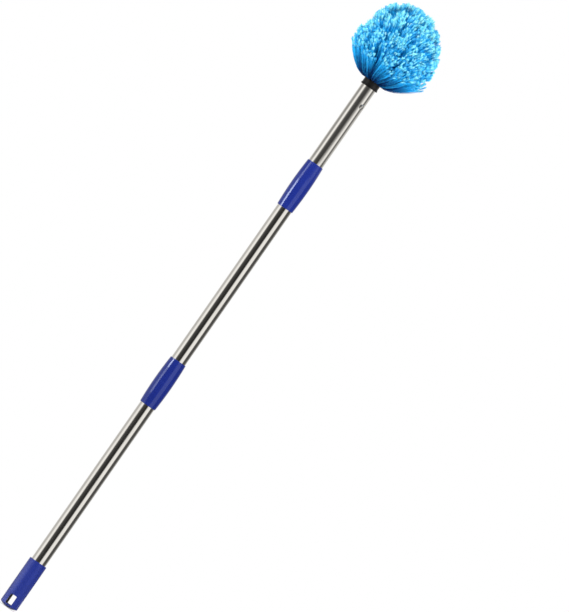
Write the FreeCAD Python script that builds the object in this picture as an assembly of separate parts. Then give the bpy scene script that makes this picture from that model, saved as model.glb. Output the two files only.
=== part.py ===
import FreeCAD, Part
import math
import os

# Cobweb brush on a three-section screw-together pole. Millimetres, +Z up the pole,
# origin on the pole's axis at the lowest point of the end cap.
Vector = FreeCAD.Vector
UP = Vector(0, 0, 1)
ORIGIN = Vector(0, 0, 0)

# Pole sections: thin stainless tube, the same diameter in all three
TUBE_DIAMETER = 25.0
TUBE_WALL = 0.5
LOWER_TUBE_LENGTH = 374.0
MIDDLE_TUBE_LENGTH = 340.0
HEAD_TUBE_LENGTH = 169.8

# End cap with its hanging slot
CAP_DIAMETER = 30.2
CAP_LENGTH = 84.0
CAP_DOME_RISE = 4.0
CAP_RIM_ROUND = 0.8
SOCKET_FLOOR = 30.0
SLOT_WIDTH = 10.8
SLOT_HEIGHT = 16.4
SLOT_BASE = 5.5
SLOT_CORNER = 1.5

# Screw coupling: barrel sleeve, rolled retaining groove, thread
SLEEVE_LENGTH = 83.0
SLEEVE_END_DIAMETER = 27.6
SLEEVE_MIDDLE_DIAMETER = 30.5
SLEEVE_END_ROUND = 0.7
THREAD_DIAMETER = 17.4
THREAD_PITCH = 4.0
THREAD_TURNS = 6
GROOVE_BELOW_RIM = 8.0
GROOVE_DEPTH = 0.6
GROOVE_WIDTH = 3.0
RIDGE_WIDTH = 2.4
FLANGE_THICKNESS = 2.0
FLANGE_INSET = 0.1
PLUG_LENGTH = 24.0
PLUG_WALL = 2.5
PLUG_FLOOR = 3.5
NOSE_BORE = 12.0
NOSE_CHAMFER = 1.0

# Brush base: stem in the head tube, lipped collar, domed tuft block
STEM_LENGTH = 46.0
STEM_BORE = 14.0
STEM_BORE_STOP = 2.0
COLLAR_HEIGHT = 12.0
COLLAR_FOOT_DIAMETER = 29.2
COLLAR_TOP_DIAMETER = 27.8
COLLAR_FOOT_ROUND = 0.4
COLLAR_LIP_HEIGHT = 2.4

# Pan-head screw that holds the base in the tube
SCREW_BELOW_COLLAR = 31.0
SCREW_AZIMUTH = 49.0
SCREW_SHANK_DIAMETER = 4.2
SCREW_LENGTH = 9.5
SCREW_HEAD_DIAMETER = 8.0
SCREW_HEAD_HEIGHT = 2.7
SCREW_HEAD_EDGE = 1.0
SCREW_TIP = 2.5
RECESS_SPAN = 4.4
RECESS_WIDTH = 1.0
RECESS_DEPTH = 1.4

# Tufts: rings of holes over the dome, and the trimmed ball that their tips make
TUFTS_IN_RING = (1, 6, 12, 16, 18, 20, 20)
HOLE_DIAMETER = 2.1
HOLE_DEPTH = 4.4
HOLE_RING_STEP = 14.2
ANCHOR_HEIGHT = 1.0
ANCHOR_THICKNESS = 0.4
BALL_RADIUS = 66.0
BALL_HEIGHT_ABOVE = 76.0
BALL_HEIGHT_BELOW = 60.0
BALL_CENTRE_RISE = 54.6
BALL_SQUARENESS = 2.1
TIP_RING_STEP = 18.4
TUFT_FILL = 0.84
TUFT_SIDES = 8
TUFT_SECTIONS = 4

# Clearances
RUNNING_CLEARANCE = 0.3
PRESS_CLEARANCE = 0.1
SEAT_CLEARANCE = 0.05

tube_radius = TUBE_DIAMETER / 2
tube_bore_radius = tube_radius - TUBE_WALL
plug_radius = tube_bore_radius - PRESS_CLEARANCE
flange_radius = tube_radius - FLANGE_INSET
thread_length = THREAD_PITCH * THREAD_TURNS
nose_length = thread_length + 2 * RUNNING_CLEARANCE
coupling_gap = 2 * FLANGE_THICKNESS + nose_length

# Heights along the pole, each from the piece below it
lower_tube_top = SOCKET_FLOOR + LOWER_TUBE_LENGTH
middle_tube_base = lower_tube_top + coupling_gap
middle_tube_top = middle_tube_base + MIDDLE_TUBE_LENGTH
head_tube_base = middle_tube_top + coupling_gap
head_tube_top = head_tube_base + HEAD_TUBE_LENGTH
dome_centre_height = head_tube_top + COLLAR_HEIGHT
dome_radius = COLLAR_TOP_DIAMETER / 2
ball_centre_height = dome_centre_height + BALL_CENTRE_RISE
screw_height = head_tube_top - SCREW_BELOW_COLLAR


def at(radius, height):
    """A point of a revolved outline: distance from the axis and height."""
    return Vector(radius, 0, height)


def outline(points):
    """Straight edges from each (radius, height) to the next."""
    corners = [at(*point) for point in points]
    return [Part.LineSegment(a, b).toShape() for a, b in zip(corners, corners[1:])]


def arc(start, middle, end):
    return Part.Arc(at(*start), at(*middle), at(*end)).toShape()


def revolve(edges):
    """Turn a closed outline in the XZ plane about the pole's axis."""
    face = Part.Face(Part.Wire(edges))
    return face.revolve(ORIGIN, UP, 360)


def revolve_points(points):
    return revolve(outline(points + points[:1]))


def on_round(centre, radius, degrees):
    """A point on a small rounding, for the middle of its arc."""
    turn = math.radians(degrees)
    return (centre[0] + radius * math.cos(turn), centre[1] + radius * math.sin(turn))


def dome(radius, edge, crown):
    """A shallow round dome as one arc, from its edge's height up or down to its crown on the axis."""
    rise = crown - edge
    ball = (radius**2 + rise**2) / (2 * rise)
    half_way = crown - ball + math.copysign(math.sqrt(ball**2 - (radius / 2) ** 2), ball)
    return arc((radius, edge), (radius / 2, half_way), (0, crown))


def save(name, solids):
    shape = solids[0] if len(solids) == 1 else Part.makeCompound(solids)
    shape.exportStep(f"parts/{name}.step")


def end_cap():
    """Moulded grip cap: domed foot, straight barrel, tube socket, slot right through for a hook."""
    radius = CAP_DIAMETER / 2
    socket = tube_radius + PRESS_CLEARANCE
    rim = (radius - CAP_RIM_ROUND, CAP_LENGTH - CAP_RIM_ROUND)
    edges = [dome(radius, CAP_DOME_RISE, 0)]
    edges += outline([(radius, CAP_DOME_RISE), (radius, rim[1])])
    edges += [arc((radius, rim[1]), on_round(rim, CAP_RIM_ROUND, 45), (rim[0], CAP_LENGTH))]
    edges += outline([(rim[0], CAP_LENGTH), (socket, CAP_LENGTH), (socket, SOCKET_FLOOR)])
    edges += outline([(socket, SOCKET_FLOOR), (0, SOCKET_FLOOR), (0, 0)])
    slot_corner = Vector(-SLOT_WIDTH / 2, -CAP_DIAMETER, SLOT_BASE)
    slot = Part.makeBox(SLOT_WIDTH, 2 * CAP_DIAMETER, SLOT_HEIGHT, slot_corner)
    corners = [edge for edge in slot.Edges if edge.BoundBox.YLength > CAP_DIAMETER]
    return revolve(edges).cut(slot.makeFillet(SLOT_CORNER, corners))


def grooved_tube(base, length):
    """Pole tube whose top end has a groove rolled into the wall, for the sleeve to snap into."""
    top = base + length
    groove = top - GROOVE_BELOW_RIM
    flat = GROOVE_WIDTH / 2
    shoulder = flat + GROOVE_DEPTH
    outside = [
        (tube_radius, base),
        (tube_radius, groove - shoulder),
        (tube_radius - GROOVE_DEPTH, groove - flat),
        (tube_radius - GROOVE_DEPTH, groove + flat),
        (tube_radius, groove + shoulder),
        (tube_radius, top),
    ]
    inside = [(radius - TUBE_WALL, height) for radius, height in reversed(outside)]
    return revolve_points(outside + inside)


def head_tube():
    """Short plain tube under the brush, drilled once for the screw."""
    tube = Part.makeCylinder(tube_radius, HEAD_TUBE_LENGTH, at(0, head_tube_base))
    tube = tube.cut(Part.makeCylinder(tube_bore_radius, HEAD_TUBE_LENGTH, at(0, head_tube_base)))
    return tube.cut(screw_drilling(PRESS_CLEARANCE))


def thrust_plug(tube_top):
    """Hollow moulded plug locked in a tube's top by the groove; its flange takes the thread's push."""
    waist = plug_radius - GROOVE_DEPTH
    groove = tube_top - GROOVE_BELOW_RIM
    reach = GROOVE_WIDTH / 2 + 2 * GROOVE_DEPTH
    hollow = waist - PLUG_WALL
    face = tube_top + FLANGE_THICKNESS
    return revolve_points([
        (0, face),
        (0, face - PLUG_FLOOR),
        (hollow, face - PLUG_FLOOR),
        (hollow, tube_top - PLUG_LENGTH),
        (plug_radius, tube_top - PLUG_LENGTH),
        (plug_radius, groove - reach),
        (waist, groove - reach),
        (waist, groove + reach),
        (plug_radius, groove + reach),
        (plug_radius, tube_top),
        (flange_radius, tube_top),
        (flange_radius, face),
    ])


def screw_plug(tube_base):
    """Hollow moulded plug pressed into a tube's foot; its threaded nose screws through the sleeve."""
    nose = THREAD_DIAMETER / 2
    tip = tube_base - FLANGE_THICKNESS - nose_length
    flange = tube_base - FLANGE_THICKNESS
    return revolve_points([
        (NOSE_BORE / 2, tip),
        (nose - NOSE_CHAMFER, tip),
        (nose, tip + NOSE_CHAMFER),
        (nose, flange),
        (flange_radius, flange),
        (flange_radius, tube_base),
        (plug_radius, tube_base),
        (plug_radius, tube_base + PLUG_LENGTH),
        (plug_radius - PLUG_WALL, tube_base + PLUG_LENGTH),
        (plug_radius - PLUG_WALL, tube_base + PLUG_WALL),
        (NOSE_BORE / 2, tube_base),
    ])


def sleeve(tube_top):
    """Barrel grip sleeve: snap ridge in the lower bore, threaded web, guide bore for the upper tube."""
    web_base = tube_top + FLANGE_THICKNESS + RUNNING_CLEARANCE
    web_top = web_base + thread_length
    middle = (web_base + web_top) / 2
    base = middle - SLEEVE_LENGTH / 2
    top = middle + SLEEVE_LENGTH / 2
    end = SLEEVE_END_DIAMETER / 2
    bore = tube_radius + RUNNING_CLEARANCE
    thread = THREAD_DIAMETER / 2 + RUNNING_CLEARANCE
    groove = tube_top - GROOVE_BELOW_RIM
    ridge = tube_radius - GROOVE_DEPTH + RUNNING_CLEARANCE
    flat = RIDGE_WIDTH / 2
    foot = flat + bore - ridge
    edge = SLEEVE_END_ROUND
    low = (end - edge, base + edge)
    high = (end - edge, top - edge)
    edges = outline([(bore, base), (low[0], base)])
    edges += [arc((low[0], base), on_round(low, edge, -45), (end, low[1]))]
    edges += [arc((end, low[1]), (SLEEVE_MIDDLE_DIAMETER / 2, middle), (end, high[1]))]
    edges += [arc((end, high[1]), on_round(high, edge, 45), (high[0], top))]
    edges += outline([
        (high[0], top),
        (bore, top),
        (bore, web_top),
        (thread, web_top),
        (thread, web_base),
        (bore, web_base),
        (bore, groove + foot),
        (ridge, groove + flat),
        (ridge, groove - flat),
        (bore, groove - foot),
        (bore, base),
    ])
    return revolve(edges)


def screw_frame():
    """Where the screw's head seats on the tube, and the direction that points out of the tube."""
    turn = math.radians(SCREW_AZIMUTH)
    outward = Vector(math.sin(turn), -math.cos(turn), 0)
    seat = outward * (tube_radius + SEAT_CLEARANCE) + at(0, screw_height)
    return seat, outward


def screw_drilling(clearance):
    """Round hole from the tube's outside to its axis, for the screw's shank."""
    seat, outward = screw_frame()
    return Part.makeCylinder(SCREW_SHANK_DIAMETER / 2 + clearance, tube_radius, seat, outward * -1)


def head_screw():
    """Self-tapping pan-head screw with a cross recess, turned on Z and laid along its own axis."""
    head = SCREW_HEAD_DIAMETER / 2
    shank = SCREW_SHANK_DIAMETER / 2
    edges = outline([(0, SCREW_HEAD_HEIGHT), (0, -SCREW_LENGTH), (shank, SCREW_TIP - SCREW_LENGTH)])
    edges += outline([(shank, SCREW_TIP - SCREW_LENGTH), (shank, 0), (head, 0), (head, SCREW_HEAD_EDGE)])
    edges += [dome(head, SCREW_HEAD_EDGE, SCREW_HEAD_HEIGHT)]
    screw = revolve(edges)
    for length, width in ((RECESS_SPAN, RECESS_WIDTH), (RECESS_WIDTH, RECESS_SPAN)):
        corner = Vector(-length / 2, -width / 2, SCREW_HEAD_HEIGHT - RECESS_DEPTH)
        screw = screw.cut(Part.makeBox(length, width, SCREW_HEAD_HEIGHT, corner))
    seat, outward = screw_frame()
    screw.Placement = FreeCAD.Placement(seat, FreeCAD.Rotation(UP, outward))
    return screw


def ring_turns(ring):
    """Azimuths of one ring's tufts, every other ring set half a step round."""
    count = TUFTS_IN_RING[ring]
    return [360 * (index + (ring % 2) / 2) / count for index in range(count)]


def hole_point(ring, depth):
    """A point on the centre line of a tuft hole: radius and height, at a depth below the dome."""
    lean = math.radians(HOLE_RING_STEP * ring)
    reach = dome_radius - depth
    return at(reach * math.sin(lean), dome_centre_height + reach * math.cos(lean))


def turned(shape, azimuth):
    copy = shape.copy()
    copy.rotate(ORIGIN, UP, azimuth)
    return copy


def ring_of(ring, shape):
    return [turned(shape, azimuth) for azimuth in ring_turns(ring)]


def rings():
    return range(len(TUFTS_IN_RING))


def tuft_hole(ring):
    inner = hole_point(ring, HOLE_DEPTH)
    outward = hole_point(ring, 0) - inner
    return Part.makeCylinder(HOLE_DIAMETER / 2, 2 * HOLE_DEPTH, inner, outward)


def brush_base():
    """Black moulding: hollow stem in the tube, collar with a lip at its foot, dome drilled for the tufts."""
    foot = head_tube_top
    bore = STEM_BORE / 2
    bore_end = foot + STEM_BORE_STOP
    stem_end = foot - STEM_LENGTH
    collar = COLLAR_FOOT_DIAMETER / 2
    edge = (collar - COLLAR_FOOT_ROUND, foot + COLLAR_FOOT_ROUND)
    centre = (0, dome_centre_height)
    crown = dome_centre_height + dome_radius
    lip_top = foot + COLLAR_LIP_HEIGHT
    lip_end = lip_top + collar - dome_radius
    edges = outline([(0, bore_end), (bore, bore_end), (bore, stem_end), (plug_radius, stem_end)])
    edges += outline([(plug_radius, stem_end), (plug_radius, foot), (edge[0], foot)])
    edges += [arc((edge[0], foot), on_round(edge, COLLAR_FOOT_ROUND, -45), (collar, edge[1]))]
    edges += outline([(collar, edge[1]), (collar, lip_top), (dome_radius, lip_end)])
    edges += outline([(dome_radius, lip_end), (dome_radius, dome_centre_height)])
    edges += [arc((dome_radius, dome_centre_height), on_round(centre, dome_radius, 45), (0, crown))]
    edges += outline([(0, crown), (0, bore_end)])
    holes = [hole for ring in rings() for hole in ring_of(ring, tuft_hole(ring))]
    return revolve(edges).cut(holes + [screw_drilling(PRESS_CLEARANCE)])


def tuft_anchor(ring):
    """Flat wire staple across the bottom of a hole, over which the tuft is folded."""
    span = HOLE_DIAMETER - 3 * PRESS_CLEARANCE
    corner = Vector(-ANCHOR_THICKNESS / 2, -span / 2, 0)
    staple = Part.makeBox(ANCHOR_THICKNESS, span, ANCHOR_HEIGHT, corner)
    inner = hole_point(ring, HOLE_DEPTH - PRESS_CLEARANCE)
    lean = FreeCAD.Rotation(Vector(0, 1, 0), HOLE_RING_STEP * ring)
    staple.Placement = FreeCAD.Placement(inner, lean)
    return staple


def ball_point(degrees):
    """Where the tips' trimmed surface lies at an angle from straight up, seen from the ball's centre."""
    across = math.sin(math.radians(degrees))
    along = math.cos(math.radians(degrees))
    half = BALL_HEIGHT_ABOVE if along > 0 else BALL_HEIGHT_BELOW
    power = BALL_SQUARENESS
    reach = ((abs(across) / BALL_RADIUS) ** power + (abs(along) / half) ** power) ** (-1 / power)
    return at(reach * across, ball_centre_height + reach * along)


def slant(degrees):
    """Unit vector in the XZ plane, leaning out from straight up."""
    return Vector(math.sin(math.radians(degrees)), 0, math.cos(math.radians(degrees)))


def lean_of(vector):
    return math.degrees(math.atan2(vector.x, vector.z))


def tuft(ring):
    """One flared tuft: a bundle that leaves its hole, bows upwards and fans out to the trimmed ball."""
    root_lean = HOLE_RING_STEP * ring
    tip_turn = TIP_RING_STEP * ring
    half_step = TIP_RING_STEP / 2
    root = hole_point(ring, HOLE_DEPTH - ANCHOR_HEIGHT - 2 * PRESS_CLEARANCE)
    leave = hole_point(ring, 0)
    tip = ball_point(tip_turn)
    chord = tip - leave
    tip_lean = 2 * lean_of(chord) - root_lean
    handle = chord.Length / 3
    curve = Part.BezierCurve()
    curve.setPoles([leave, leave + slant(root_lean) * handle, tip - slant(tip_lean) * handle, tip])
    face = ball_point(tip_turn - half_step) - ball_point(tip_turn + half_step)
    face_lean = lean_of(face) + 90
    side_gap = 2 * math.pi * tip.x / TUFTS_IN_RING[ring] if ring else face.Length
    neck = HOLE_DIAMETER / 2 - PRESS_CLEARANCE
    fill = TUFT_FILL / 2 / math.cos(math.pi / TUFT_SIDES)
    wires = [tuft_section(root, root_lean, neck, neck)]
    for step in range(TUFT_SECTIONS + 1):
        share = step / TUFT_SECTIONS
        lean = root_lean + (face_lean - root_lean) * share
        along = neck + (fill * face.Length - neck) * share
        across = neck + (fill * side_gap - neck) * share
        wires.append(tuft_section(curve.value(share), lean, along, across))
    return Part.makeLoft(wires, True, True)


def tuft_section(centre, lean, along, across):
    """Many-sided section of a tuft, square to its lean, with its own half width each way."""
    outwards = slant(lean + 90)
    sideways = Vector(0, 1, 0)
    points = []
    for side in range(TUFT_SIDES):
        turn = 2 * math.pi * (side + 0.5) / TUFT_SIDES
        points.append(centre + outwards * (along * math.cos(turn)) + sideways * (across * math.sin(turn)))
    return Part.makePolygon(points + points[:1])


os.makedirs("parts", exist_ok=True)
save("end_cap", [end_cap()])
save("lower_tube", [grooved_tube(SOCKET_FLOOR, LOWER_TUBE_LENGTH)])
save("lower_thrust_plug", [thrust_plug(lower_tube_top)])
save("lower_sleeve", [sleeve(lower_tube_top)])
save("middle_screw_plug", [screw_plug(middle_tube_base)])
save("middle_tube", [grooved_tube(middle_tube_base, MIDDLE_TUBE_LENGTH)])
save("middle_thrust_plug", [thrust_plug(middle_tube_top)])
save("upper_sleeve", [sleeve(middle_tube_top)])
save("head_screw_plug", [screw_plug(head_tube_base)])
save("head_tube", [head_tube()])
save("brush_base", [brush_base()])
save("head_screw", [head_screw()])
save("tuft_anchors", [anchor for ring in rings() for anchor in ring_of(ring, tuft_anchor(ring))])
for ring in rings():
    save(f"tuft_ring_{ring}", ring_of(ring, tuft(ring)))
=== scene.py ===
import math

import bpy
import numpy as np
from mathutils import Matrix, Vector


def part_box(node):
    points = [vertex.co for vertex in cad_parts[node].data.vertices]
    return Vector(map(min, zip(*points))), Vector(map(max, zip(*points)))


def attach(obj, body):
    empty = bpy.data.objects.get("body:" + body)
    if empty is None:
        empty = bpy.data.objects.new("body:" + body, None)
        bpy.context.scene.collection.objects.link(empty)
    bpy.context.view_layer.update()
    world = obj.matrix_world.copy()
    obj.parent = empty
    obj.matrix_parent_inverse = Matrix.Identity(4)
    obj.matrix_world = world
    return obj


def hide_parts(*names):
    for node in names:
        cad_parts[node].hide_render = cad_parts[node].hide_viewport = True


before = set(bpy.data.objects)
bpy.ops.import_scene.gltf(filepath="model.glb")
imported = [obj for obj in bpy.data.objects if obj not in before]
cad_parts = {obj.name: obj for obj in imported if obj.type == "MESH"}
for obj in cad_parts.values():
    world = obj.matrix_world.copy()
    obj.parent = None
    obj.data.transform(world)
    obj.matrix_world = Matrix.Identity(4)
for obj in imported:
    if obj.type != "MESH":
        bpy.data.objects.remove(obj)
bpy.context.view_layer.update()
bpy.ops.object.select_all(action="DESELECT")


# End cap: a grip moulded in glossy dark blue polypropylene and pressed on the pole's foot. A slot right
# through it takes a hook, and the slot's walls are dull and dark. The mould leaves a fine seam down both
# sides, and use leaves faint hairline scuffs, most of them on the foot.
class Shade:
    """A shader value. Arithmetic on it adds Math nodes, and node() adds a node of any other kind."""

    def __init__(self, tree, socket=None):
        self.tree = tree
        self.socket = socket

    def node(self, kind, settings={}, sockets={}, output=0):
        made = self.tree.nodes.new(kind)
        for name, value in settings.items():
            if name == "stops":
                band = made.color_ramp
                while len(band.elements) < len(value):
                    band.elements.new(0.5)
                for element, (place, colour) in zip(band.elements, value):
                    element.position = place
                    element.color = (*colour, 1)
            else:
                setattr(made, name, value)
        for name, value in sockets.items():
            if isinstance(value, Shade):
                self.tree.links.new(value.socket, made.inputs[name])
            else:
                made.inputs[name].default_value = value
        return Shade(self.tree, made.outputs[output] if len(made.outputs) else None)

    def math(self, operation, first, second=0.0):
        return self.node("ShaderNodeMath", {"operation": operation}, {0: first, 1: second})

    def __add__(self, other):
        return self.math("ADD", self, other)

    def __radd__(self, other):
        return self.math("ADD", other, self)

    def __sub__(self, other):
        return self.math("SUBTRACT", self, other)

    def __rsub__(self, other):
        return self.math("SUBTRACT", other, self)

    def __mul__(self, other):
        return self.math("MULTIPLY", self, other)

    def __rmul__(self, other):
        return self.math("MULTIPLY", other, self)

    def __abs__(self):
        return self.math("ABSOLUTE", self)

    def smooth(self, low, high):
        """0 below low, 1 above high and an eased step between them."""
        settings = {"interpolation_type": "SMOOTHSTEP"}
        return self.node("ShaderNodeMapRange", settings, {"Value": self, "From Min": low, "From Max": high})

    def mix(self, first, second):
        """Blend two colours by this value."""
        return self.node("ShaderNodeMix", {"data_type": "RGBA"}, {0: self, 6: first, 7: second}, 2)

    def part(self, axis):
        return self.node("ShaderNodeSeparateXYZ", {}, {0: self}, axis)

    def noise(self, scale, stretch=(1, 1, 1), detail=3.0):
        placed = self.node("ShaderNodeMapping", {}, {"Vector": self, "Scale": stretch})
        return self.node("ShaderNodeTexNoise", {}, {"Vector": placed, "Scale": scale, "Detail": detail})

    def bump(self, height):
        """A normal from this value as a relief, given the height in metres that 1 stands for."""
        return self.node("ShaderNodeBump", {}, {"Height": self, "Strength": 1.0, "Distance": height})


def new_finish(name):
    """An empty material, with the Object coordinates that its pattern follows."""
    material = bpy.data.materials.new(name)
    material.use_nodes = True
    material.node_tree.nodes.clear()
    return material, Shade(material.node_tree).node("ShaderNodeTexCoord", output="Object")


def surface(place, sockets):
    shader = place.node("ShaderNodeBsdfPrincipled", {}, sockets)
    place.node("ShaderNodeOutputMaterial", {}, {"Surface": shader})


def dress(names, material):
    for name in names:
        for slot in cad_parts[name].material_slots:
            slot.material = material


# Edges of the seam, the scuffed foot and the slot's walls, in metres: where each starts and ends to fade
SEAM_EDGE = (0.00008, 0.00032)
SCUFFED_FOOT = (0.0005, 0.012)
SLOT_SIDE = (0.00545, 0.00550)
SLOT_BOTTOM = (0.0049, 0.0051)
SLOT_TOP = (0.0219, 0.0221)
CAP_OUTSIDE = (0.01490, 0.01505)
SCUFF_BLUE = (0.060, 0.078, 0.30, 1)
PLASTIC_IOR = 1.5
blue_gloss, place = new_finish("blue_gloss_moulding")
cloud = place.noise(55.0, detail=4.0)
hairline = place.noise(420.0, (1, 1, 0.06)).smooth(0.60, 0.74)
peel = place.noise(300.0, detail=1.0)
seam = 1 - abs(place.part(1)).smooth(*SEAM_EDGE)
foot = 1 - place.part(2).smooth(*SCUFFED_FOOT)
scuff = hairline * (0.35 + foot * 0.65)
body = cloud.mix((0.0115, 0.0240, 0.200, 1), (0.0155, 0.0300, 0.235, 1))
gloss = place.node("ShaderNodeBsdfPrincipled", {}, {
    "Base Color": (scuff * 0.30).mix(body, SCUFF_BLUE),
    "Roughness": 0.20 + cloud * 0.06 + scuff * 0.14,
    "Specular Tint": (0.50, 0.57, 1, 1),
    "Normal": (peel * 0.25 + seam * 0.5 - scuff * 0.15).bump(0.00002),
    "IOR": PLASTIC_IOR,
})
eroded = place.noise(1800.0, detail=2.0)
slot_skin = place.node("ShaderNodeBsdfPrincipled", {}, {
    "Base Color": eroded.mix((0.10, 0.095, 0.10, 1), (0.15, 0.14, 0.14, 1)),
    "Roughness": 0.72 + eroded * 0.12,
    "Normal": eroded.bump(0.00006),
    "Specular IOR Level": 0.06,
})
rise = place.part(2)
level_place = place.node("ShaderNodeVectorMath", {"operation": "MULTIPLY"}, {0: place, 1: (1, 1, 0)})
from_axis = place.node("ShaderNodeVectorMath", {"operation": "LENGTH"}, {0: level_place}, "Value")
in_slot = (1 - abs(place.part(0)).smooth(*SLOT_SIDE)) * (1 - from_axis.smooth(*CAP_OUTSIDE))
in_slot = in_slot * rise.smooth(*SLOT_BOTTOM) * (1 - rise.smooth(*SLOT_TOP))
skin = place.node("ShaderNodeMixShader", {}, {0: in_slot, 1: gloss, 2: slot_skin})
place.node("ShaderNodeOutputMaterial", {}, {"Surface": skin})
dress(["end_cap"], blue_gloss)

# Pole: three lengths of thin polished stainless tube, alike in diameter. Drawing and polishing leave fine
# lines along them, a slight waviness, and a few soft smears from handling.
pole_steel, place = new_finish("polished_stainless_tube")
drawn = place.noise(900.0, (1, 1, 0.012), 2.0)
wave = place.noise(26.0, (1, 1, 0.35), 1.0)
smear = place.noise(38.0, (1, 1, 0.4), 4.0).smooth(0.46, 0.70)
surface(place, {
    "Base Color": (drawn * 0.5 + smear * 0.3).mix((0.70, 0.685, 0.655, 1), (0.60, 0.585, 0.555, 1)),
    "Metallic": 1.0,
    "Roughness": 0.09 + drawn * 0.04 + smear * 0.05,
    "Normal": (drawn * 0.02 + wave * 0.25).bump(0.00008),
})
dress(["lower_tube", "middle_tube", "head_tube"], pole_steel)

# Coupling sleeves: two barrel grips of the same blue moulding as the cap, with a fine seam as well. Each
# turns on the tube below it and draws the next section in on a thread. Their scuffs are finer than the
# cap's and run round them, as fingers turn them.
sleeve_gloss, place = new_finish("blue_gloss_sleeve")
cloud = place.noise(60.0, detail=4.0)
turned = place.noise(520.0, (0.15, 0.15, 1)).smooth(0.62, 0.76)
peel = place.noise(300.0, detail=1.0)
seam = 1 - abs(place.part(0)).smooth(*SEAM_EDGE)
body = cloud.mix((0.0085, 0.0180, 0.160, 1), (0.0110, 0.0225, 0.190, 1))
surface(place, {
    "Base Color": (turned * 0.15).mix(body, SCUFF_BLUE),
    "Roughness": 0.05 + cloud * 0.04 + turned * 0.10,
    "Specular Tint": (0.70, 0.80, 1, 1),
    "Normal": (peel * 0.06 + seam * 0.4).bump(0.00002),
    "IOR": PLASTIC_IOR,
})
dress(["lower_sleeve", "upper_sleeve"], sleeve_gloss)

# Plugs: natural white polypropylene mouldings locked in the tubes' ends, which carry the thread and take
# its push. They are hidden in the pole and keep a dull, faintly mottled skin from the mould.
plug_skin, place = new_finish("natural_white_moulding")
mottle = place.noise(140.0, detail=5.0)
grain = place.noise(1600.0, detail=1.0)
surface(place, {
    "Base Color": mottle.mix((0.62, 0.62, 0.585, 1), (0.75, 0.75, 0.72, 1)),
    "Roughness": 0.42 + mottle * 0.14,
    "Normal": grain.bump(0.00003),
    "IOR": 1.49,
})
plugs = ["lower_thrust_plug", "middle_screw_plug", "middle_thrust_plug", "head_screw_plug"]
dress(plugs, plug_skin)

# Brush base: a black moulding whose stem sits in the head tube. Its lipped collar stops on the tube's end,
# and its dome is drilled for the tufts. Satin skin from a spark-eroded mould, with patches of paler dust.
black_satin, place = new_finish("black_satin_moulding")
dust = place.noise(95.0, detail=5.0).smooth(0.42, 0.75)
spark = place.noise(2400.0, detail=2.0)
surface(place, {
    "Base Color": dust.mix((0.0045, 0.0043, 0.0042, 1), (0.0095, 0.0090, 0.0088, 1)),
    "Roughness": 0.30 + dust * 0.14 + spark * 0.08,
    "Normal": spark.bump(0.00004),
    "Specular IOR Level": 0.28,
})
dress(["brush_base"], black_satin)

# Screw: a zinc-plated pan-head self-tapper with a cross recess, driven through the tube into the base. The
# plating is bright, a little cloudy and finely pitted.
zinc, place = new_finish("bright_zinc_plate")
bloom = place.noise(700.0, detail=4.0)
pits = place.noise(2600.0, detail=2.0)
surface(place, {
    "Base Color": bloom.mix((0.50, 0.50, 0.49, 1), (0.70, 0.695, 0.675, 1)),
    "Metallic": 1.0,
    "Roughness": 0.20 + bloom * 0.16,
    "Normal": pits.bump(0.00004),
})
dress(["head_screw"], zinc)

# Staples: short flat wires at the bottom of the holes, over which the tufts are folded. Drawn steel wire
# with fine lines, hidden in the dome.
wire, place = new_finish("drawn_flat_wire")
lines = place.noise(2000.0, (0.1, 1, 1), 2.0)
surface(place, {
    "Base Color": lines.mix((0.42, 0.42, 0.40, 1), (0.58, 0.575, 0.555, 1)),
    "Metallic": 1.0,
    "Roughness": 0.28 + lines * 0.14,
    "Normal": lines.bump(0.00002),
})
dress(["tuft_anchors"], wire)

# Bristles: blue plastic filaments in 93 tufts, doubled over staples in the dome's holes. They bow outwards
# into a ball that is trimmed at its tips, and the tips are flagged, that is split into soft paler hairs.
# One filament is modelled and then bent along the path of each of its copies.
FILAMENT_LENGTH = 0.060
FILAMENT_RADIUS = 0.00026
SHAFT_SHARE = 0.95
SHAFT_CUTS = 5
CUTS_NEAR_ROOT = 1.35
FLAG_RADIUS = 0.00019
FLAG_TIP_RADIUS = 0.00013
# Each split hair: how far up the filament it starts, its length, its splay and its turn in degrees
FLAGS = (
    (0.905, 0.0054, 2, 20),
    (0.91, 0.0052, 8, 70),
    (0.915, 0.0048, 14, 130),
    (0.91, 0.0052, 5, 190),
    (0.915, 0.0048, 11, 250),
    (0.92, 0.0044, 18, 310),
)


def pick_edges(piece, wanted):
    """Select the edges of the mesh in edit mode whose two ends pass a test."""
    bpy.ops.mesh.select_all(action="DESELECT")
    bpy.ops.object.mode_set(mode="OBJECT")
    points = piece.data.vertices
    for edge in piece.data.edges:
        edge.select = wanted(points[edge.vertices[0]].co, points[edge.vertices[1]].co)
    bpy.ops.object.mode_set(mode="EDIT")


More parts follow.
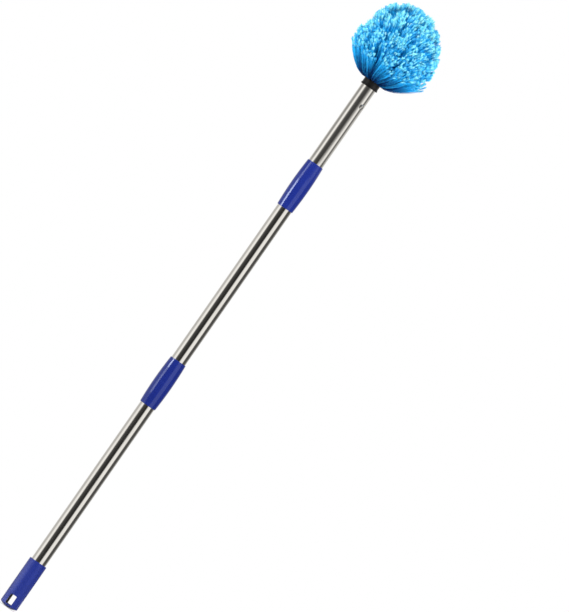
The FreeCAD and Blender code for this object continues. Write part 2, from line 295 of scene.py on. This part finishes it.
shaft = FILAMENT_LENGTH * SHAFT_SHARE
bpy.ops.mesh.primitive_cylinder_add(
    vertices=3, radius=FILAMENT_RADIUS, depth=shaft, location=(0, 0, shaft / 2),
)
filament = bpy.context.object
bpy.ops.object.transform_apply()
bpy.ops.object.mode_set(mode="EDIT")
bpy.ops.mesh.select_mode(type="EDGE")
pick_edges(filament, lambda a, b: abs(a.z - b.z) > shaft / 2)
bpy.ops.mesh.subdivide(number_cuts=SHAFT_CUTS)
bpy.ops.object.mode_set(mode="OBJECT")
for vertex in filament.data.vertices:
    vertex.co.z = shaft * (max(vertex.co.z, 0) / shaft) ** CUTS_NEAR_ROOT
hairs = []
for start, length, splay, turn in FLAGS:
    lean = Matrix.Rotation(math.radians(turn), 3, "Z") @ Matrix.Rotation(math.radians(splay), 3, "Y")
    middle = Vector((0, 0, start * FILAMENT_LENGTH)) + lean @ Vector((0, 0, length / 2))
    bpy.ops.mesh.primitive_cone_add(
        vertices=3, radius1=FLAG_RADIUS, radius2=FLAG_TIP_RADIUS, depth=length,
        location=middle, rotation=lean.to_euler(),
    )
    bpy.ops.object.transform_apply()
    hairs.append(bpy.context.object)
for hair in hairs:
    hair.select_set(True)
filament.select_set(True)
bpy.context.view_layer.objects.active = filament
bpy.ops.object.join()
points = np.array([vertex.co for vertex in filament.data.vertices])
faces = [list(face.vertices) for face in filament.data.polygons]
bpy.data.objects.remove(filament)

# The dome that the tufts stand in and the ball that their tips are trimmed to: metres and degrees
HOLE_RING_STEP = 14.2
TIP_RING_STEP = 18.4
DOME_RADIUS = 0.0139
COLLAR_HEIGHT = 0.0120
BALL_RADIUS = 0.066
BALL_HEIGHT_ABOVE = 0.076
BALL_HEIGHT_BELOW = 0.060
BALL_CENTRE_RISE = 0.0546
BALL_SQUARENESS = 2.1
# One value for each ring of tufts, from the crown down to the collar
TUFTS_IN_RING = (1, 6, 12, 16, 18, 20, 20)
TIP_TURNS = (0.0, 18.4, 36.8, 55.2, 73.6, 92.0, 108.0)
CLUMPS_IN_TUFT = (36, 36, 36, 36, 34, 24, 14)
CLUMP_LOOSENESS = (0.045, 0.045, 0.045, 0.045, 0.05, 0.07, 0.09)
CLUMP_UNEVENNESS = (0.0010, 0.0010, 0.0010, 0.0010, 0.0014, 0.0026, 0.0042)
TINT_REACH = (1.0, 1.0, 1.0, 1.0, 1.0, 0.9, 0.82)
ROOT_FAN = (0.34, 0.34, 0.34, 0.34, 0.34, 0.40, 0.55)
RING_FILL = (0.97, 0.97, 0.96, 0.95, 0.94, 1.0, 0.95)
SIDE_FILL = (0.97, 0.97, 0.99, 1.01, 1.06, 1.2, 1.4)
TIPS_OUT = (1.2, 1.2, 1.2, 1.2, 1.2, 0.7, 0.1)
# What every tuft shares: how its filaments stand in the hole, gather, end and bend
FILAMENTS_IN_TUFT = 80
ROOT_DEPTH = 0.0030
ROOT_SPREAD = 0.00082
GOLDEN_TURN = 137.5
CLUMP_REACH_JITTER = 0.05
CLUMP_TURN_JITTER = 0.12
TUFT_AIM_JITTER = 0.0034
TUFT_UNEVENNESS = 0.0016
TRIM_RAGGEDNESS = 0.0010
TUFT_EDGE_DROP = 0.0026
TUFT_EDGE_LIMIT = 1.2
BRUSHED_ASIDE = np.array((0.0032, 0.0004, 0.0))
ROOT_BEND_JITTER = 0.0006
TIP_BEND_JITTER = 0.0015
THICKNESS_RANGE = (0.8, 1.2)
# Tints from 0, dark, to 1, pale: some clumps are dark, as painted shadow for the gaps between strands, and
# a few lone filaments are nearly white
PAINTED_SHADE_CLUMP_SHARE = 0.35
PAINTED_SHADE_TINT = 0.10
TINT_RANGE = (0.35, 0.85)
TINT_JITTER = 0.1
HUE_START = 0.06
HUE_SPAN = 0.84
PALE_FILAMENT_SHARE = 0.002
PALE_HUE = 0.975
# How each filament lies in the UV map, from a foot to a height and with a little width of its own
LAID_FOOT = 0.01
LAID_HEIGHT = 0.975
LAID_WIDTH = 6
LAID_TILT = 3
dome_centre = Vector((0, 0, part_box("head_tube")[1].z + COLLAR_HEIGHT))
ball_centre = np.array(dome_centre) + (0, 0, BALL_CENTRE_RISE)
BRISTLE_SEED = 491
rng = np.random.default_rng(BRISTLE_SEED)


def unit(vectors):
    return vectors / np.linalg.norm(vectors, axis=-1, keepdims=True)


def slant(degrees):
    """Unit vector in the XZ plane, leaning out from straight up."""
    return np.array((math.sin(math.radians(degrees)), 0, math.cos(math.radians(degrees))))


def on_ball(offsets):
    """Points of the trimmed surface that lie the same way from its centre as these offsets do."""
    ways = unit(offsets)
    across = np.hypot(ways[..., 0], ways[..., 1])
    along = ways[..., 2]
    half = np.where(along > 0, BALL_HEIGHT_ABOVE, BALL_HEIGHT_BELOW)
    power = BALL_SQUARENESS
    reach = ((across / BALL_RADIUS) ** power + (abs(along) / half) ** power) ** (-1 / power)
    return ball_centre + ways * reach[..., None]


def tuft_paths(ring, azimuth):
    """Bezier control points of one tuft's filaments, whose tips gather in small clumps, and their tints."""
    count = FILAMENTS_IN_TUFT
    clumps = CLUMPS_IN_TUFT[ring]
    clump = np.arange(count) % clumps
    place = np.arange(clumps) + 0.5
    reach = np.sqrt(place / clumps) + rng.normal(0, CLUMP_REACH_JITTER, clumps)
    angle = math.radians(GOLDEN_TURN) * place + rng.uniform(0, 2 * math.pi)
    angle = angle + rng.normal(0, CLUMP_TURN_JITTER, clumps)
    along = (reach * np.cos(angle))[clump] + rng.normal(0, CLUMP_LOOSENESS[ring], count)
    across = (reach * np.sin(angle))[clump] + rng.normal(0, CLUMP_LOOSENESS[ring], count)
    spread = np.hypot(along, across)
    settle = 1 / np.maximum(spread, 1)
    out = slant(HOLE_RING_STEP * ring)
    side = np.array((0.0, 1.0, 0.0))
    over_dome = slant(HOLE_RING_STEP * ring + 90)
    sideways = along[:, None] * over_dome + across[:, None] * side
    leave = np.array(dome_centre) + out * DOME_RADIUS
    root = leave - out * ROOT_DEPTH + ROOT_SPREAD * settle[:, None] * sideways
    tip_turn = TIP_TURNS[ring]
    tip = on_ball(slant(tip_turn))
    step = on_ball(slant(tip_turn + TIP_RING_STEP / 2)) - on_ball(slant(tip_turn - TIP_RING_STEP / 2))
    ring_gap = np.linalg.norm(step) * RING_FILL[ring]
    side_gap = 2 * math.pi * tip[0] / TUFTS_IN_RING[ring] * SIDE_FILL[ring] if ring else ring_gap
    aim = tip - ball_centre + rng.normal(0, TUFT_AIM_JITTER, 3)
    aim = aim + 0.5 * (ring_gap * along[:, None] * unit(step) + side_gap * across[:, None] * side)
    tips = on_ball(aim)
    uneven = rng.normal(TUFT_UNEVENNESS, TUFT_UNEVENNESS)
    uneven = uneven + rng.normal(0, CLUMP_UNEVENNESS[ring], clumps)[clump]
    uneven = uneven - np.abs(rng.normal(0, TRIM_RAGGEDNESS, count))
    uneven = uneven - TUFT_EDGE_DROP * np.minimum(spread, TUFT_EDGE_LIMIT) ** 3
    tips = tips + unit(tips - leave) * uneven[:, None]
    aside = BRUSHED_ASIDE @ np.array(Matrix.Rotation(azimuth, 3, "Z"))
    tips = tips + aside * math.sin(math.radians(tip_turn))
    chord = tips - root
    way = unit(chord)
    handle = np.linalg.norm(chord, axis=1, keepdims=True) / 3
    tip_way = unit(2 * (way @ out)[:, None] * way - out + TIPS_OUT[ring] * unit(aim))
    fan = unit(out + ROOT_FAN[ring] * sideways)
    first = root + fan * handle + rng.normal(0, ROOT_BEND_JITTER, (count, 3))
    second = tips - tip_way * handle + rng.normal(0, TIP_BEND_JITTER, (count, 3))
    # A share of the clumps gets a dark tint: painted shadow for the gaps between strands and tufts.
    tints = np.where(rng.random(clumps) < PAINTED_SHADE_CLUMP_SHARE, PAINTED_SHADE_TINT, rng.uniform(*TINT_RANGE, clumps))
    tints = (tints[clump] + rng.uniform(-TINT_JITTER, TINT_JITTER, count)) * TINT_REACH[ring]
    return np.stack([root, first, second, tips], axis=1), tints


def bend_copies(paths):
    """The modelled filament's points, bent along each path with a roll and a thickness of its own."""
    count = len(paths)
    share = (points[:, 2] / FILAMENT_LENGTH).clip(0, 1)[None, :, None]
    p0, p1, p2, p3 = (paths[:, None, k] for k in range(4))
    rest = 1 - share
    centre = rest**3 * p0 + 3 * rest**2 * share * p1 + 3 * rest * share**2 * p2 + share**3 * p3
    ahead = unit(rest**2 * (p1 - p0) + 2 * rest * share * (p2 - p1) + share**2 * (p3 - p2))
    roll = unit(rng.normal(size=(count, 1, 3)))
    first = unit(roll - (roll * ahead).sum(-1, keepdims=True) * ahead)
    second = np.cross(ahead, first)
    size = rng.uniform(*THICKNESS_RANGE, (count, 1, 1))
    return centre + size * (points[None, :, 0:1] * first + points[None, :, 1:2] * second)


filament_blue, place = new_finish("flagged_blue_filament")
laid = place.node("ShaderNodeUVMap", {"uv_map": "OFBake"})
tint = laid.part(0)
height = laid.part(1)
shade = place.math("MINIMUM", height + (tint - 0.5) * (1.25 - height * 0.90), 0.80)
# The shafts' colour darkens from the tips down to the roots: painted shade of the ball's depths, not a dye.
shafts_painted_depth_shade = shade.node("ShaderNodeValToRGB", {"stops": (
    (0.00, (0.001, 0.032, 0.150)),
    (0.25, (0.001, 0.076, 0.295)),
    (0.60, (0.014, 0.362, 0.785)),
    (0.80, (0.028, 0.512, 0.985)),
)}, {"Fac": shade})
split_ends = tint.node("ShaderNodeValToRGB", {"stops": (
    (0.10, (0.050, 0.495, 0.925)),
    (0.35, (0.125, 0.690, 0.965)),
    (0.60, (0.310, 0.910, 1.000)),
    (0.80, (0.480, 1.000, 1.000)),
)}, {"Fac": tint})
blues = height.smooth(0.88, 0.95).mix(shafts_painted_depth_shade, split_ends)
pale = tint.smooth(0.945, 0.955)
surface(place, {
    "Base Color": pale.mix(blues, (0.72, 0.90, 0.97, 1)),
    "Roughness": 0.42 + tint * 0.22,
    "Specular IOR Level": 0.08,
})

for ring, tuft_count in enumerate(TUFTS_IN_RING):
    paths = []
    tints = []
    for index in range(tuft_count):
        azimuth = 2 * math.pi * (index + (ring % 2) / 2) / tuft_count
        turned = np.array(Matrix.Rotation(azimuth, 3, "Z"))
        tuft, shades = tuft_paths(ring, azimuth)
        paths.append(tuft @ turned.T)
        tints.append(shades)
    paths = np.concatenate(paths)
    count = len(paths)
    corners = bend_copies(paths).reshape(-1, 3)
    order = []
    for copy in range(count):
        order += [[number + copy * len(points) for number in face] for face in faces]
    mesh = bpy.data.meshes.new(f"bristle_ring_{ring}")
    mesh.from_pydata(corners.tolist(), [], order)
    hue = HUE_START + HUE_SPAN * np.concatenate(tints)
    hue[rng.random(count) < PALE_FILAMENT_SHARE] = PALE_HUE
    across = hue[:, None] + points[None, :, 0] * LAID_WIDTH
    along = LAID_FOOT + points[None, :, 2] / FILAMENT_LENGTH * LAID_HEIGHT + points[None, :, 1] * LAID_TILT
    flat = np.stack([across, np.broadcast_to(along, across.shape)], axis=-1).reshape(-1, 2)
    loops = np.empty(len(mesh.loops), dtype=np.int32)
    mesh.loops.foreach_get("vertex_index", loops)
    mesh.uv_layers.new(name="OFBake").data.foreach_set("uv", flat[loops].ravel())
    mesh.polygons.foreach_set("use_smooth", np.ones(len(mesh.polygons), dtype=bool))
    mesh.materials.append(filament_blue)
    bristles = bpy.data.objects.new(f"bristle_ring_{ring}", mesh)
    bpy.context.scene.collection.objects.link(bristles)
    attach(bristles, "head_section")
    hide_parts(f"tuft_ring_{ring}")

# Studio: a white floor that keeps the contact shadow, a white room, three soft lamps, and panels of light
# that only glossy surfaces see. The cap has a drum of panels of its own and the sleeves have strips, so
# that each shows the highlights that it has in the photograph.
VIEW_AZIMUTH = 7.5
FLOOR_SIZE = 40
FLOOR_GREY = (0.85, 0.85, 0.85, 1)
SHADOW_REACH = (0.05, 0.40)
WHITE_AT_FOOT = 0.55
WHITE = (1, 1, 1, 1)


def looking_rays(place):
    """1 for the rays that see the white background: from the camera, in reflections and through glass."""
    ray = place.node("ShaderNodeLightPath", output="Is Camera Ray")
    for kind in ("Is Glossy Ray", "Is Transmission Ray"):
        ray = ray + place.node("ShaderNodeLightPath", output=kind)
    return ray


bpy.ops.object.select_all(action="DESELECT")
bpy.ops.mesh.primitive_plane_add(size=FLOOR_SIZE, location=(0, 0, 0))
floor = bpy.context.object
floor.name = "floor"
paper, place = new_finish("white_paper_floor")
distance = place.node("ShaderNodeVectorMath", {"operation": "LENGTH"}, {0: place}, "Value")
seen = looking_rays(place) * (WHITE_AT_FOOT + distance.smooth(*SHADOW_REACH) * (1 - WHITE_AT_FOOT))
matt = place.node("ShaderNodeBsdfDiffuse", {}, {"Color": FLOOR_GREY})
white = place.node("ShaderNodeEmission", {}, {"Color": WHITE, "Strength": 1.0})
blended = place.node("ShaderNodeMixShader", {}, {0: seen, 1: matt, 2: white})
place.node("ShaderNodeOutputMaterial", {}, {"Surface": blended})
floor.data.materials.append(paper)

# The panels' light round the pole at three heights, as pairs of a bearing from the view and a level
BY_CAP = (
    (-180, 0.3), (-140, 0.5), (-114, 1.3), (-99, 3.4), (-75, 4.6), (-52, 4.2), (-38, 2.0), (-26, 0.7),
    (-17, 0.25), (5, 0.2), (20, 0.3), (36, 0.5), (55, 0.5), (75, 0.15), (110, 0.12), (140, 0.1),
    (180, 0.3),
)
BY_TUBES = (
    (-180, 0.95), (-134, 0.75), (-100, 0.66), (-86, 1.15), (-60, 1.35), (-51, 0.35), (-42, 0.09),
    (-22, 0.06), (0, 0.03), (13, 0.03), (26, 1.15), (61, 1.25), (72, 0.11), (112, 0.09), (134, 0.45),
    (180, 0.95),
)
BY_HEAD = (
    (-180, 0.95), (-141, 0.88), (-118, 0.45), (-96, 0.38), (-84, 0.6), (-70, 1.25), (-56, 1.4),
    (-46, 0.6), (-36, 0.15), (-20, 0.09), (8, 0.07), (20, 0.16), (40, 0.6), (53, 1.1), (68, 1.3),
    (80, 0.35), (90, 0.12), (108, 0.4), (130, 0.8), (180, 0.95),
)
PANEL_STRENGTH = 5.0
PANEL_TINT = (1, 0.985, 0.96)
DRUM_RADIUS = 0.600
CAP_DRUM_RADIUS = 0.598
DRUM_HEIGHT = 3.6
DRUM_CLEARANCE = 0.001
# Fades in metres: up the wall from the cap's levels and to the head's, and out along the drum's floor
ABOVE_CAP = (0.030, 0.070)
NEAR_HEAD = (0.820, 0.850)
OUT_OF_SHADOW = (0.03, 0.06)
OUT_OF_CAP_LIGHT = (0.12, 0.25)
UP_THE_WALL = (0.590, 0.597)
SHADOW_BLACK = (0.01, 0.01, 0.01, 1)
DRUM_FLOOR_GREY = (0.09, 0.09, 0.088, 1)


def seen_by(names, state):
    """The pieces that a panel's light is kept to, or kept from."""
    pieces = bpy.data.collections.new("light_" + state.lower())
    for name in names:
        pieces.objects.link(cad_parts[name])
    for piece in pieces.collection_objects:
        piece.light_linking.link_state = state
    return pieces


def shine(place, colour, strength, see_through):
    """Finish a panel's material with its light alone, or with its light over what is behind it."""
    glow = place.node("ShaderNodeEmission", {}, {"Color": colour, "Strength": strength})
    if see_through:
        clear = place.node("ShaderNodeBsdfTransparent")
        glow = place.node("ShaderNodeAddShader", {}, {0: glow, 1: clear})
    place.node("ShaderNodeOutputMaterial", {}, {"Surface": glow})


def ring_of_panels(name, radius, by_foot, pieces, see_through):
    """A drum of light round the pole, opaque or see-through to the drum outside it."""
    middle = DRUM_CLEARANCE + DRUM_HEIGHT / 2
    bpy.ops.mesh.primitive_cylinder_add(
        vertices=96, radius=radius, depth=DRUM_HEIGHT, location=(0, 0, middle),
    )
    drum = bpy.context.object
    drum.name = name
    bpy.ops.object.transform_apply()
    light, place = new_finish(name + "_light")
    bearing = place.math("ARCTAN2", place.part(0), 0 - place.part(1))
    turns = place.math("FRACT", (bearing * (180 / math.pi) - VIEW_AZIMUTH + 540) * (1 / 360))
    rings = []
    for levels in (by_foot, BY_TUBES, BY_HEAD):
        stops = []
        for degrees, level in levels:
            colour = tuple(level / PANEL_STRENGTH * tint for tint in PANEL_TINT)
            stops.append(((degrees + 180) / 360, colour))
        rings.append(place.node("ShaderNodeValToRGB", {"stops": stops}, {"Fac": turns}))
    rise = place.part(2)
    wall = rise.smooth(*ABOVE_CAP).mix(rings[0], rings[1])
    wall = rise.smooth(*NEAR_HEAD).mix(wall, rings[2])
    from_foot = place.node("ShaderNodeVectorMath", {"operation": "LENGTH"}, {0: place}, "Value")
    underfoot = from_foot.smooth(*OUT_OF_CAP_LIGHT).mix(wall, DRUM_FLOOR_GREY)
    underfoot = from_foot.smooth(*OUT_OF_SHADOW).mix(SHADOW_BLACK, underfoot)
    colour = from_foot.smooth(*UP_THE_WALL).mix(underfoot, wall)
    shine(place, colour, PANEL_STRENGTH, see_through)
    drum.data.materials.append(light)
    drum.light_linking.receiver_collection = pieces
    return drum


panels = [
    ring_of_panels("reflected_panels", DRUM_RADIUS, BY_TUBES, seen_by(["end_cap"], "EXCLUDE"), False),
    ring_of_panels("cap_panels", CAP_DRUM_RADIUS, BY_CAP, seen_by(["end_cap"], "INCLUDE"), True),
]

# The strips that only the sleeves see: the height of each one's middle, its length and its strength
STRIPS = (
    (0.512, 0.065, 12.0),
    (0.415, 0.125, 3.0),
    (0.735, 0.150, 12.0),
    (0.865, 0.100, 3.0),
)
STRIP_BEARING = -64
STRIP_REACH = 0.58
STRIP_WIDTH = 0.21
strip_turn = math.radians(STRIP_BEARING + VIEW_AZIMUTH)
sleeves_only = seen_by(["lower_sleeve", "upper_sleeve"], "INCLUDE")
for number, (middle, tall, strength) in enumerate(STRIPS):
    strip_light, place = new_finish(f"strip_panel_{number}")
    shine(place, (*PANEL_TINT, 1), strength, True)
    strip_place = Vector((math.sin(strip_turn) * STRIP_REACH, -math.cos(strip_turn) * STRIP_REACH, middle))
    bpy.ops.mesh.primitive_plane_add(size=1, location=strip_place, rotation=(math.pi / 2, 0, strip_turn))
    strip = bpy.context.object
    strip.name = f"reflected_strip_{number}"
    strip.scale = (STRIP_WIDTH, tall, 1)
    strip.light_linking.receiver_collection = sleeves_only
    strip.data.materials.append(strip_light)
    panels.append(strip)

for panel in panels:
    panel.visible_camera = False
    panel.visible_diffuse = False
    panel.visible_transmission = False
    panel.visible_shadow = False

ROOM_GREY = (0.62, 0.62, 0.63, 1)
world = bpy.data.worlds.new("white_room")
bpy.context.scene.world = world
world.use_nodes = True
world.node_tree.nodes.clear()
room = Shade(world.node_tree)
room_light = looking_rays(room).smooth(0.0, 1.0).mix(ROOM_GREY, WHITE)
sky = room.node("ShaderNodeBackground", {}, {"Color": room_light, "Strength": 1.0})
room.node("ShaderNodeOutputWorld", {}, {"Surface": sky})

LAMP_REACH = 1.1
LAMP_SIZE = 0.6
LAMP_AIM_HEIGHT = 0.9


def soft_light(name, bearing, height, power):
    """A square area light at a bearing from the view, aimed at the upper part of the pole."""
    turn = math.radians(bearing + VIEW_AZIMUTH)
    place = Vector((math.sin(turn) * LAMP_REACH, -math.cos(turn) * LAMP_REACH, height))
    aim = (place - Vector((0, 0, LAMP_AIM_HEIGHT))).to_track_quat("Z", "Y").to_euler()
    bpy.ops.object.light_add(type="AREA", location=place, rotation=aim)
    lamp = bpy.context.object
    lamp.name = name
    lamp.data.size = LAMP_SIZE
    lamp.data.energy = power
    lamp.visible_glossy = False


soft_light("key_left", -44, 1.25, 13)
soft_light("fill_right", 50, 1.2, 13)
soft_light("rim_back", 165, 1.7, 5)

# Camera: far off, level with the brush a little above its middle, and rolled so that the pole leans to the
# right as it does in the photograph.
VIEW_ROLL = 34.82
VIEW_DISTANCE = 15.0
VIEW_HEIGHT_SPAN = 0.9388
VIEW_AIM_RIGHT = 0.0854
VIEW_AIM_HEIGHT = 0.6222
turn = math.radians(VIEW_AZIMUTH)
roll = math.radians(VIEW_ROLL)
level_right = Vector((math.cos(turn), math.sin(turn), 0))
back = Vector((math.sin(turn), -math.cos(turn), 0))
up = Vector((0, 0, 1))
right = level_right * math.cos(roll) + up * math.sin(roll)
top = up * math.cos(roll) - level_right * math.sin(roll)
aim = level_right * VIEW_AIM_RIGHT + up * VIEW_AIM_HEIGHT
camera = bpy.data.objects.new("camera", bpy.data.cameras.new("camera"))
bpy.context.scene.collection.objects.link(camera)
camera.data.lens = camera.data.sensor_width * VIEW_DISTANCE / VIEW_HEIGHT_SPAN
camera.data.clip_end = 100
pose = Matrix((right, top, back)).transposed().to_4x4()
pose.translation = aim + back * VIEW_DISTANCE
camera.matrix_world = pose
bpy.context.scene.camera = camera
bpy.context.scene.view_settings.view_transform = "Standard"
